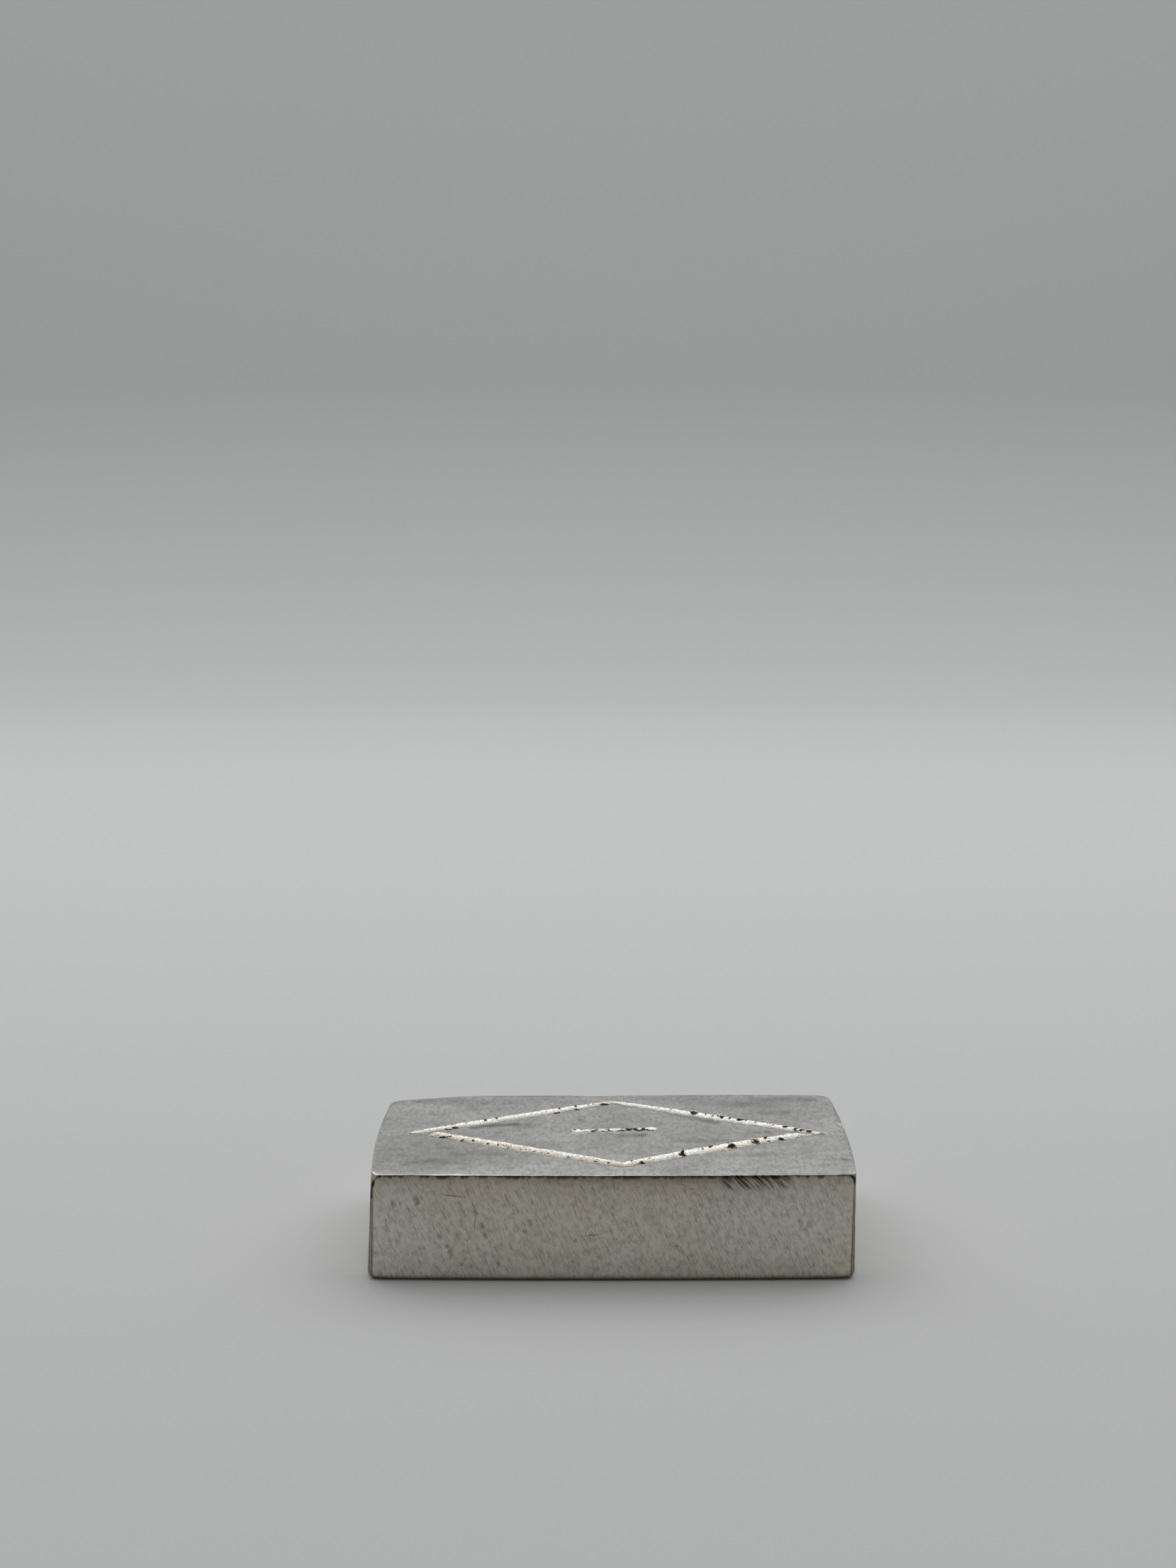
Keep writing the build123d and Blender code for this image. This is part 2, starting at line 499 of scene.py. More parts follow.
@dataclass(frozen=True)
class TopEdge:
    """The edge round the top, with a value for each column of the walls."""

    level: np.ndarray      # height of its lower side
    drop: np.ndarray       # from the top down to there
    bevel: np.ndarray      # how far its upper side is set in
    front: np.ndarray      # share that faces the front
    bright: np.ndarray     # how bright it was rubbed, partly a painted highlight
    oxide_and_shade: np.ndarray      # how far oxide and painted shade reach down from it
    patchy: np.ndarray     # how that varies on a small scale
    corner_line: np.ndarray       # dark lines painted down the upright front edges

    def swell(self, fall: np.ndarray) -> np.ndarray:
        """Gives how far the front face stands out below the edge, with a lip over a hollow.

        Args:
            fall: the distance below the edge at each column.

        Returns:
            A height for each column.
        """
        lip = 0.03 * (0.4 + self.bright) * bell(fall, 0.06)
        hollow = 0.3 * np.minimum(self.oxide_and_shade * self.patchy, 0.3) * bell(fall - 0.17, 0.10)
        return self.front * (lip - hollow)

    def stain_and_shade(self, fall: np.ndarray, level: np.ndarray) -> np.ndarray:
        """Gives the oxide, dirt and painted shade on the walls.

        Args:
            fall: the distance below the edge at each column.
            level: the height above the base at each column.

        Returns:
            The thickest of the line of oxide and painted shade under the front edge, the dark lines down
            the upright front edges, the painted shade along the rest of the rim and at the foot.
        """
        # painted shade: the oxide under the front edge is darkened below the overhanging lip, fading down
        # the face
        thickness = np.clip(0.6 * self.patchy, 0.48, 0.8)
        core = thickness * np.clip(1.8 - fall / (0.9 * np.minimum(self.oxide_and_shade * self.patchy, 0.3)), 0, 1)
        below = np.maximum(fall, 0)
        tail = 0.45 * np.clip(self.oxide_and_shade / 0.3, 0, 1) * np.exp(-below / (2 * self.oxide_and_shade))
        tail = tail + 0.15 * np.exp(-below / 1.8)
        under = np.maximum(core, tail) * (fall > 0.01)
        # painted shade: a dark line along the top edge of the ends and back, which dulls the glint of the
        # bevel there
        painted_rim_shade = 0.8 * (1 - self.front) * np.clip(1.2 - fall / 0.08, 0, 1)
        # painted shade: the walls darken at the foot, as if mirroring the floor's contact shadow
        return np.max([self.front * under, self.corner_line, painted_rim_shade, 0.3 * bell(level, 0.3)], axis=0)

    def worn_and_highlight(self, fall: np.ndarray) -> np.ndarray:
        """Gives how bright the walls were rubbed, partly a painted highlight, by the distance below the
        edge.
        """
        return self.front * self.bright * np.clip(1.1 - fall / 0.05, 0, 1)


@dataclass
class BarBlock:
    """The bar's closed mesh: rings of columns round its sides, closed by a cut top and a base."""

    length: float
    width: float
    height: float
    end_crown: float = 0.40           # how far the middle of an end face stands past its corners
    side_crown: float = 0.30          # the same for a long face
    left_draft: float = 2.8           # lean of each face, degrees
    right_draft: float = 0.2
    side_draft: float = 1.2
    back_slant: float = 0.5           # how much nearer the front the back face is at its left end
    back_left_fall: float = 1.35      # how far the back face falls away at its left end
    fall_start: float = 0.62          # where that starts, as a share of the way there from its middle
    front_top_radius: float = 0.45    # rounding of the upright edges
    front_base_radius: float = 0.95
    back_right_radius: float = 1.4
    back_left_radius: float = 1.3
    base_round: float = 0.50
    corner_base_round: float = 0.30   # added to the base rounding at the two front corners
    bevel: float = 0.08               # breadth of the rubbed edge round the top
    bevel_drop: float = 0.05
    rubbing: float = 1.4              # breadth of the rounded strip behind the front edge
    rubbing_drop: float = 0.025
    skin: float = 0.045               # the mean surface lies this far inside, so that burrs fit too
    front_step: float = 0.15          # distance between columns
    end_step: float = 0.34
    back_step: float = 0.42
    corner_columns: int = 10
    cut_step: float = 0.085           # distance between the points of a stroke's mesh
    near_step: float = 0.18           # beside a stroke or the front edge
    near_stroke: float = 0.5          # how far from a stroke's strip that goes
    near_edge: float = 0.7            # how far behind the front edge
    near_gap: float = 0.09            # what it leaves free beside a stroke's strip
    open_step: float = 0.32           # on the rest of the top
    open_stroke: float = 0.6          # how far from a stroke's strip that starts
    open_edge: float = 0.85           # how far behind the front edge
    stroke_gap: float = 0.04          # between the points of two strokes
    rim_gap: float = 0.07             # between the points of the top and its rim
    base_step: float = 0.9
    foot_gap: float = 0.4             # between the points of the base and its rim
    burr_reach: float = 0.3           # how far from a stroke's strip its burr goes
    chip_reach: float = 1.6           # how far from a front corner its break goes
    plain_foot: float = 0.4           # the walls get their waves over this height
    flat_front: float = 0.935         # share of half the width past which a point lies on the front
    engraving: Engraving = field(default_factory=Engraving)

    def __post_init__(self) -> None:
        """Works out the columns and what was done by hand."""
        self.top = self.height - self.skin
        self.even_width = self.width - self.back_slant ** 2 / (16 * self.side_crown)
        self.handling = Handling(self.top, -self.even_width / 2)
        self.strokes = self.engraving.strokes()
        self.spans: dict[Side, slice] = {}
        self.turns: dict[Side, slice] = {}
        shares = []
        for side, span, step in (
            (Side.FRONT, self.length, self.front_step),
            (Side.RIGHT, self.width, self.end_step),
            (Side.BACK, self.length, self.back_step),
            (Side.LEFT, self.width, self.end_step),
        ):
            count = round(span / step)
            begin = sum(len(part) for part in shares)
            self.spans[side] = slice(begin, begin + count)
            self.turns[side] = slice(begin + count, begin + count + self.corner_columns)
            shares.append(np.arange(count) / count)
            shares.append(np.arange(self.corner_columns) / self.corner_columns)
        self.shares = np.concatenate(shares)
        self.columns = len(self.shares)

    def corner_radius(self, side: Side, level: np.ndarray) -> np.ndarray:
        """Gives the rounding of the upright edge at the end of a side.

        Args:
            side: the face before the edge.
            level: the heights at which it is wanted.

        Returns:
            The radius at each height.
        """
        if side is Side.RIGHT:
            return np.full(len(level), self.back_right_radius)
        if side is Side.BACK:
            return np.full(len(level), self.back_left_radius)
        return np.interp(level, (0, self.height), (self.front_base_radius, self.front_top_radius))

    def side_point(self, side: Side, place: np.ndarray, level: np.ndarray) -> np.ndarray:
        """Finds points on one of the bowed and drafted faces.

        Args:
            side: the face.
            place: where along it, from -1 to 1 between its sharp corners.
            level: the height of each point.

        Returns:
            One row of x and y for each point.
        """
        above = level - self.base_round
        half_length = self.length / 2 - self.skin - self.end_crown
        half_width = self.even_width / 2 - self.skin - self.side_crown
        left = half_length - above * math.tan(math.radians(self.left_draft))
        right = half_length - above * math.tan(math.radians(self.right_draft))
        deep = half_width - above * math.tan(math.radians(self.side_draft))
        slant = self.back_slant / 2
        bow = 1 - place ** 2
        fallen = np.clip((place - self.fall_start) / (1 - self.fall_start), 0, 1) ** 1.3
        fallen = self.back_left_fall * fallen
        middle = (right - left) / 2
        half = (right + left) / 2
        if side is Side.FRONT:
            return np.column_stack([middle + place * half, -deep - self.side_crown * bow])
        if side is Side.BACK:
            back = deep + self.side_crown * bow - place * slant - fallen
            return np.column_stack([middle - place * half, back])
        if side is Side.RIGHT:
            tall = (place + 1) / 2 * slant
            return np.column_stack([right + self.end_crown * bow, place * deep + tall])
        short = (1 - place) / 2 * (slant + self.back_left_fall)
        return np.column_stack([-left - self.end_crown * bow, -place * deep - short])

    def outline(self, level: np.ndarray) -> np.ndarray:
        """Finds the outline in plan, with a height for each column.

        Args:
            level: the height of each column's point.

        Returns:
            One row of x and y for each column, counter-clockwise from the front left corner.
        """
        plan = np.empty((self.columns, 2))
        order = list(Side)
        for index, side in enumerate(order):
            half = (self.length if side in (Side.FRONT, Side.BACK) else self.width) / 2
            span = self.spans[side]
            before = self.corner_radius(order[index - 1], level[span]) / half
            after = self.corner_radius(side, level[span]) / half
            place = -1 + before + self.shares[span] * (2 - before - after)
            plan[span] = self.side_point(side, place, level[span])

            turn = self.turns[side]
            share = self.shares[turn][:, None]
            following = order[(index + 1) % len(order)]
            next_half = (self.length if following in (Side.FRONT, Side.BACK) else self.width) / 2
            radius = self.corner_radius(side, level[turn])
            enter = self.side_point(side, 1 - radius / half, level[turn])
            sharp = self.side_point(side, np.ones(len(radius)), level[turn])
            leave = self.side_point(following, radius / next_half - 1, level[turn])
            plan[turn] = (1 - share) ** 2 * enter + 2 * share * (1 - share) * sharp + share ** 2 * leave
        return plan

    def all_cuts(self, plan: np.ndarray) -> Furrow:
        """Joins what all strokes did to some places on the top.

        Args:
            plan: one row of x and y for each place.

        Returns:
            The deepest cut and the highest burr, with the oxide, painted shade and dullness that go with
            them.
        """
        depth = np.zeros(len(plan))
        burr = np.zeros(len(plan))
        oxide_and_shade = np.zeros(len(plan))
        dull = np.zeros(len(plan))
        for stroke in self.strokes:
            near = np.flatnonzero(stroke.covers(plan, self.burr_reach))
            made = stroke.furrow(plan[near])
            left_behind = np.maximum(made.oxide_and_shade, oxide_and_shade[near] * (made.depth == 0))
            oxide_and_shade[near] = np.where(made.depth >= depth[near], left_behind, oxide_and_shade[near])
            dull[near] = np.where(made.depth > depth[near], made.dull, dull[near])
            depth[near] = np.maximum(depth[near], made.depth)
            burr[near] = np.maximum(burr[near], made.burr)
        return Furrow(depth, burr, oxide_and_shade, dull)

    def filed_face(self, plan: np.ndarray) -> np.ndarray:
        """Gives how far the filed top stands off its mean level, before it was cut.

        Args:
            plan: one row of x and y for each place.

        Returns:
            A height for each place, less towards the front edge, where handling has rounded it.
        """
        drawn_along = (4.0, 1.0, 1.0)
        filed = Unevenness(9.0, 0.014, 21).at(plan) + Unevenness(1.4, 0.002, 22, drawn_along).at(plan)
        bow = self.side_crown * (1 - (2 * plan[:, 0] / self.length) ** 2)
        edge_gap = plan[:, 1] + self.even_width / 2 - self.side_crown + bow
        return filed - self.rubbing_drop * np.clip(1 - edge_gap / self.rubbing, 0, 1) ** 2

    def top_relief(self, plan: np.ndarray) -> tuple[np.ndarray, dict[Trace, np.ndarray]]:
        """Works out the height and the traces of work on the top.

        Args:
            plan: one row of x and y for each place.

        Returns:
            The height of each place, and its traces.
        """
        cuts = self.all_cuts(plan)
        places = np.column_stack([plan, np.full(len(plan), self.top)])
        strayed = places.copy()
        strayed[:, 0] += Unevenness(0.4, 0.16, 24).at(plan)
        strayed[:, 1] += Unevenness(0.4, 0.16, 25).at(plan)
        holes = sum(mark.at(strayed) for mark in self.handling.pits())
        stain_and_shade = np.max([mark.at(strayed) for mark in self.handling.cut_stains_and_shade()], axis=0)
        smudge = np.max([mark.at(places) for mark in self.handling.smudges()], axis=0)
        patchy = np.clip(0.95 + Unevenness(0.8, 0.4, 23, (1.5, 1.0, 1.0)).at(plan), 0.55, 1.5)
        inside = np.clip(cuts.depth / BARE_DEPTH, 0, 1)
        height = self.top - cuts.depth + self.filed_face(plan) + cuts.burr * (1 - inside) - holes
        traces = {
            Trace.CUT: np.maximum(inside, np.clip(cuts.burr / BARE_DEPTH, 0, 1) * 0.2),
            Trace.STAIN_AND_SHADE: np.clip(np.maximum(stain_and_shade, cuts.oxide_and_shade), 0, 2),
            Trace.SMUDGE: np.clip(np.maximum(smudge * patchy * (1 - inside), cuts.dull), 0, 1),
        }
        return np.minimum(height, self.height), traces

    def base_rounding(self, plan: np.ndarray) -> np.ndarray:
        """Gives the rounding of the base edge at each column, fuller at the front corners.

        Args:
            plan: one row of x and y for each column.

        Returns:
            The radius at each column.
        """
        corners = np.array([[-self.length, -self.width], [self.length, -self.width]]) / 2
        gap = np.min([np.linalg.norm(plan - corner, axis=1) for corner in corners], axis=0)
        return self.base_round + self.corner_base_round * bell(gap, 1.5)

    def top_edge(self, plan: np.ndarray) -> TopEdge:
        """Works out what the edge round the top is like.

        Args:
            plan: one row of x and y for each column, half way up the walls.

        Returns:
            The edge.
        """
        along = plan[:, :1]
        front = np.clip(-self.outward(plan)[:, 1] * 1.6 - 0.4, 0, 1)
        ragged = Unevenness(1.5, 0.5, 31).at(plan)
        fine = Unevenness(0.3, 0.5, 37).at(along)
        # painted highlight: the front edge's brightness is wear and a painted highlight, varying along it
        wear_and_highlight_patches = np.clip(0.8 + Unevenness(0.9, 0.7, 36).at(along), 0, 1.2)
        bright = self.handling.edge_wear_and_highlight(plan[:, 0]) * wear_and_highlight_patches
        drop = self.bevel_drop * (0.4 + 0.6 * front * bright + 0.2 * Unevenness(0.9, 1.0, 33).at(plan))
        corners = [plan[column] for column in self.front_corner_columns()]
        corner_gap = np.min([np.linalg.norm(plan - corner, axis=1) for corner in corners], axis=0)
        return TopEdge(
            level=self.top - drop,
            drop=drop,
            bevel=self.bevel * (0.4 + 0.6 * front * bright + 0.2 * ragged),
            front=front,
            bright=bright,
            oxide_and_shade=self.handling.edge_oxide_and_shade(plan[:, 0]),
            patchy=np.clip(1 + fine + 0.5 * Unevenness(1.1, 1.0, 32).at(along), 0.7, 2),
            # dark lines painted down the upright front edges
            corner_line=0.68 * bell(corner_gap - 0.1, 0.10) * np.clip(0.8 + fine + 0.5 * ragged, 0, 1.3),
        )

    def wall_rows(self, base: np.ndarray, edge: TopEdge) -> list[tuple[np.ndarray, np.ndarray]]:
        """Lays the rows of the walls: round the base edge, up the face and over the top edge.

        Args:
            base: the rounding of the base edge at each column.
            edge: the edge round the top.

        Returns:
            For each row, the height and the inset of its columns.
        """
        close = (0.86, 0.7, 0.56, 0.44, 0.35, 0.28, 0.22, 0.17, 0.12, 0.08, 0.04, 0.0)
        falls = np.concatenate([np.arange(8.8, 1.0, -0.21), close])
        over_edge = (0.35, 0.7, 1.0)
        flush = np.zeros(self.columns)
        rows = [
            (base * (1 - math.cos(turn)), base * (1 - math.sin(turn)))
            for turn in np.linspace(0, math.pi / 2, 8)[:-1]
        ]
        rows += [(edge.level - fall / falls[0] * (edge.level - base), flush) for fall in falls]
        rows += [(edge.level + share * edge.drop, edge.bevel * share ** 1.4) for share in over_edge]
        return rows

    def wall_rings(self) -> tuple[np.ndarray, dict[Trace, np.ndarray]]:
        """Makes the rings of points from the base up over the edge of the top.

        Returns:
            The points by ring and column, and their traces.
        """
        plan = self.outline(np.full(self.columns, self.height / 2))
        base = self.base_rounding(plan)
        edge = self.top_edge(plan)
        rings = []
        stains_and_shade = []
        worn_and_highlight = []
        for level, inset in self.wall_rows(base, edge):
            ring = self.outline(np.maximum(level, base))
            place = np.column_stack([ring, level])
            fall = edge.level - level
            waves = Unevenness(5.0, 0.018, 34).at(place) + Unevenness(0.9, 0.007, 35).at(place)
            swell = np.minimum(edge.swell(fall) + waves, self.skin)
            held = np.clip(level / self.plain_foot, 0, 1)
            ring = ring + self.outward(ring) * (held * swell - inset)[:, None]
            rings.append(np.column_stack([ring, level]))
            stains_and_shade.append(edge.stain_and_shade(fall, level))
            worn_and_highlight.append(edge.worn_and_highlight(fall))
        stains_and_shade[-1] = np.zeros(self.columns)
        points = np.array(rings)
        points[-1, :, 2], _ = self.top_relief(points[-1, :, :2])
        traces = {Trace.STAIN_AND_SHADE: np.array(stains_and_shade), Trace.WORN_AND_HIGHLIGHT: np.clip(np.array(worn_and_highlight), 0, 1)}
        return points, traces

    def front_corner_columns(self) -> tuple[int, int]:
        """The columns in the middle of the two upright front edges."""
        half = self.corner_columns // 2
        return self.turns[Side.FRONT].start + half, self.turns[Side.LEFT].start + half

    def outward(self, plan: np.ndarray) -> np.ndarray:
        """Gives the direction in plan that faces away from the bar at each column.

        Args:
            plan: one row of x and y for each column.

        Returns:
            A unit vector for each column.
        """
        run = np.roll(plan, -1, axis=0) - np.roll(plan, 1, axis=0)
        normal = np.column_stack([run[:, 1], -run[:, 0]])
        return normal / np.linalg.norm(normal, axis=1)[:, None]

    @staticmethod
    def within(rim: np.ndarray, plan: np.ndarray, margin: float) -> np.ndarray:
        """Tells which places lie inside a convex rim.

        Args:
            rim: the rim's points.
            plan: one row of x and y for each place.
            margin: the least distance to the rim.

        Returns:
            True for each place inside.
        """
        inside = np.ones(len(plan), bool)
        middle = (rim.min(0) + rim.max(0)) / 2
        for axis in (0, 1):
            other = 1 - axis
            for sign in (-1, 1):
                chain = rim[(rim[:, other] - middle[other]) * sign >= 0]
                chain = chain[np.argsort(chain[:, axis])]
                limit = np.interp(plan[:, axis], chain[:, axis], chain[:, other])
                inside &= (limit - plan[:, other]) * sign > margin
        return inside

    def spread(self, step: float) -> np.ndarray:
        """Lays staggered points over the whole plan.

        Args:
            step: the distance between neighbours.

        Returns:
            One row of x and y for each point.
        """
        rise = step * math.sqrt(0.75)
        rows = np.arange(-self.width / 2, self.width / 2, rise)
        columns = np.arange(-self.length / 2, self.length / 2, step)
        x = columns[None, :] + 0.5 * step * (np.arange(len(rows)) % 2)[:, None]
        y = np.broadcast_to(rows[:, None], x.shape)
        return np.column_stack([x.ravel(), y.ravel()])

    def top_points(self, rim: np.ndarray) -> np.ndarray:
        """Lays the points of the top, close together where it is cut.

        Args:
            rim: the outline of the top.

        Returns:
            One row of x and y for each point inside the rim.
        """
        parts = []
        for index, stroke in enumerate(self.strokes):
            points = stroke.lattice(self.cut_step)
            for earlier in self.strokes[:index]:
                points = points[~earlier.covers(points, self.stroke_gap)]
            parts.append(points)
        near = self.spread(self.near_step)
        beside = np.zeros(len(near), bool)
        for stroke in self.strokes:
            beside |= stroke.covers(near, self.near_stroke)
        front_line = np.interp(near[:, 0], *self.front_edge(rim))
        beside |= near[:, 1] < front_line + self.near_edge
        parts.append(self.clear_of_strokes(near[beside], self.near_gap))
        wide = self.spread(self.open_step)
        front_line = np.interp(wide[:, 0], *self.front_edge(rim))
        wide = wide[wide[:, 1] > front_line + self.open_edge]
        parts.append(self.clear_of_strokes(wide, self.open_stroke))
        points = np.concatenate(parts)
        return points[self.within(rim, points, self.rim_gap)]

    def front_edge(self, rim: np.ndarray) -> tuple[np.ndarray, np.ndarray]:
        """Gives the x and the y of the rim along the front face."""
        edge = rim[self.spans[Side.FRONT]]
        return edge[:, 0], edge[:, 1]

    def clear_of_strokes(self, plan: np.ndarray, margin: float) -> np.ndarray:
        """Keeps the places that lie outside the strips of all strokes."""
        for stroke in self.strokes:
            plan = plan[~stroke.covers(plan, margin)]
        return plan

    @staticmethod
    def triangles(rim: np.ndarray, inner: np.ndarray) -> np.ndarray:
        """Joins a rim and the points inside it with triangles.

        Args:
            rim: the rim's points, counter-clockwise.
            inner: the points inside.

        Returns:
            Three places in the list of rim and inner points for each triangle.
        """
        count = len(rim)
        places = [Vector(p) for p in np.concatenate([rim, inner])]
        edges = [(i, (i + 1) % count) for i in range(count)]
        _, _, faces, origins, _, _ = delaunay_2d_cdt(places, edges, [], 1, 1e-6)
        source = np.array([origin[0] for origin in origins])
        return source[np.array(faces)]

    def chip(self, points: np.ndarray, rim: np.ndarray) -> np.ndarray:
        """Breaks the front left corner of the top off flat and nicks the edges.

        Args:
            points: one row of three coordinates for each point, moved in place.
            rim: the points round the top.

        Returns:
            How bright each point was rubbed or broken, from 0 to 1.
        """
        bright = np.zeros(len(points))
        right_column, left_column = self.front_corner_columns()
        for corner, away, bite in (
            (rim[left_column], (-0.7, -0.65, 0.6), 0.22),
            (rim[right_column], (0.75, -0.7, 0.6), 0.05),
        ):
            way = np.array(away) / np.linalg.norm(away)
            beyond = (points - corner) @ way + bite
            near = np.linalg.norm(points - corner, axis=1) < self.chip_reach
            cut = np.where(near, np.clip(beyond, 0, None), 0)
            points -= cut[:, None] * way
            bright = np.maximum(bright, np.clip(cut / 0.1, 0, 0.6))
        front = self.handling.front
        for nick in (
            Mark((21.5, 2.1, self.top), (21.5, 2.3, self.top), 0.4, 0.14),
            Mark((-13.9, front, self.top), (-13.5, front, self.top), 0.4, 0.11),
            Mark((8.6, front, self.top), (8.8, front, self.top), 0.3, 0.09),
        ):
            points[:, 2] -= nick.at(points)
        return bright

    def build(self) -> bpy.types.Object:
        """Makes the mesh with its traces and its unrolled map.

        Returns:
            The bar, linked to the scene.
        """
        rings, wall_traces = self.wall_rings()
        rows = len(rings)
        rim = rings[-1, :, :2]
        foot = rings[0, :, :2]
        top_plan = self.top_points(rim)
        top_height, top_traces = self.top_relief(top_plan)
        base_plan = self.spread(self.base_step)
        base_plan = base_plan[self.within(foot, base_plan, self.foot_gap)]
        points = np.concatenate([
            rings.reshape(-1, 3),
            np.column_stack([top_plan, top_height]),
            np.column_stack([base_plan, np.zeros(len(base_plan))]),
        ])

        corner = np.arange(self.columns)
        following = (corner + 1) % self.columns
        wall = np.concatenate([
            np.column_stack([r * self.columns + corner, r * self.columns + following,
                             (r + 1) * self.columns + following, (r + 1) * self.columns + corner])
            for r in range(rows - 1)
        ])
        upper = self.triangles(rim, top_plan)
        upper = np.where(upper < self.columns, upper + (rows - 1) * self.columns,
                         upper - self.columns + rows * self.columns)
        lower = self.triangles(foot, base_plan)[:, ::-1]
        lower = np.where(lower < self.columns, lower,
                         lower - self.columns + rows * self.columns + len(top_plan))

        traces = self.all_traces(points, rows, wall_traces, top_traces)
        traces[Trace.WORN_AND_HIGHLIGHT] = np.maximum(traces[Trace.WORN_AND_HIGHLIGHT], self.chip(points, rings[-1]))
        points[:, 2] = np.clip(points[:, 2], 0, self.height)

        mesh = bpy.data.meshes.new("silver_bar")
        mesh.from_pydata((points * MM).tolist(), [], wall.tolist() + upper.tolist() + lower.tolist())
        materials = np.zeros(len(mesh.polygons), np.int32)
        materials[len(wall):len(wall) + len(upper)] = 1
        mesh.polygons.foreach_set("material_index", materials)
        mesh.polygons.foreach_set("use_smooth", np.ones(len(mesh.polygons), bool))
        for trace, values in traces.items():
            attribute = mesh.attributes.new(trace.value, "FLOAT", "POINT")
            attribute.data.foreach_set("value", values.astype(np.float32))
        self.unroll(mesh, rings, len(wall), len(upper))
        mesh.validate()
        bar = bpy.data.objects.new("silver_bar", mesh)
        bpy.context.scene.collection.objects.link(bar)
        return bar

    def all_traces(
        self,
        points: np.ndarray,
        rows: int,
        wall: dict[Trace, np.ndarray],
        top: dict[Trace, np.ndarray],
    ) -> dict[Trace, np.ndarray]:
        """Joins the traces of walls and top, and adds those on the front face.

        Args:
            points: all points of the mesh.
            rows: how many rings the walls have.
            wall: traces by ring and column.
            top: traces of the points inside the top's rim.

        Returns:
            A value for every point and trace.
        """
        ring_points = rows * self.columns
        top_range = slice(ring_points, ring_points + len(top[Trace.CUT]))
        traces = {trace: np.zeros(len(points)) for trace in Trace}
        for trace, values in wall.items():
            traces[trace][:ring_points] = values.ravel()
        for trace, values in top.items():
            traces[trace][top_range] = values
        walls = points[:ring_points].copy()
        facing = walls[:, 1] < self.flat_front * self.handling.front
        walls[facing, 1] = self.handling.front
        spots = np.max([mark.at(walls) for mark in self.handling.front_stains()], axis=0)
        spots = spots * (1 + Unevenness(0.5, 0.5, 41).at(walls))
        dirt_and_shade = np.maximum(traces[Trace.STAIN_AND_SHADE][:ring_points], spots)
        traces[Trace.STAIN_AND_SHADE][:ring_points] = np.clip(dirt_and_shade, 0, 1)
        cool = np.max([mark.at(walls) for mark in self.handling.cool_patches()], axis=0)
        traces[Trace.COOL][:ring_points] = cool
        traces[Trace.HATCH][:ring_points] = self.handling.hatching().at(walls)
        return traces

    def unroll(self, mesh: bpy.types.Mesh, rings: np.ndarray, walls: int, uppers: int) -> None:
        """Lays the faces out flat: the top, the base, and the four sides as strips.

        Args:
            mesh: the bar's mesh, with the walls' faces first, then the top's, then the base's.
            rings: the walls' points by ring and column.
            walls: how many faces the walls have.
            uppers: how many faces the top has.
        """
        gap = 1.0
        middle = rings[len(rings) // 2]
        steps = np.linalg.norm(np.roll(middle, -1, axis=0) - middle, axis=1)
        reach = np.concatenate([[0], np.cumsum(steps)])
        climb = np.linalg.norm(np.diff(rings[:, self.columns // 5], axis=0), axis=1)
        rise = np.concatenate([[0], np.cumsum(climb)])
        strip = rise[-1] + gap
        tall = self.width + gap
        origins = {
            Side.FRONT: (0.0, 2 * tall),
            Side.BACK: (0.0, 2 * tall + strip),
            Side.RIGHT: (0.0, 2 * tall + 2 * strip),
            Side.LEFT: (self.width + 3 * gap, 2 * tall + 2 * strip),
        }
        across = np.zeros(self.columns)
        start = np.zeros(self.columns)
        lift = np.zeros(self.columns)
        for side in Side:
            whole = slice(self.spans[side].start, self.turns[side].stop)
            across[whole] = origins[side][0]
            start[whole] = reach[self.spans[side].start]
            lift[whole] = origins[side][1]
        sheet = 2 * tall + 3 * strip

        column = np.tile(np.arange(self.columns), len(rings) - 1)
        row = np.repeat(np.arange(len(rings) - 1), self.columns)
        left = across[column] + reach[column] - start[column]
        right = across[column] + reach[column + 1] - start[column]
        low = lift[column] + rise[row]
        high = lift[column] + rise[row + 1]
        wall_map = np.stack([left, low, right, low, right, high, left, high], axis=1).reshape(-1, 2)

        loops = np.zeros(len(mesh.loops), np.int32)
        mesh.loops.foreach_get("vertex_index", loops)
        places = np.zeros(len(mesh.vertices) * 3)
        mesh.vertices.foreach_get("co", places)
        plan = places.reshape(-1, 3)[loops[4 * walls:], :2] / MM + np.array([self.length, self.width]) / 2
        plan[3 * uppers:, 1] += tall
        layout = np.concatenate([wall_map, plan]) / sheet
        layer = mesh.uv_layers.new(name="OFBake")
        layer.data.foreach_set("uv", np.clip(layout, 0, 1).ravel().astype(np.float32))

    def dress(self, bar: bpy.types.Object) -> None:
        """Gives the walls and the top their finishes."""
        bar.data.materials.append(CastSkin().make())
        bar.data.materials.append(FiledSilver().make())


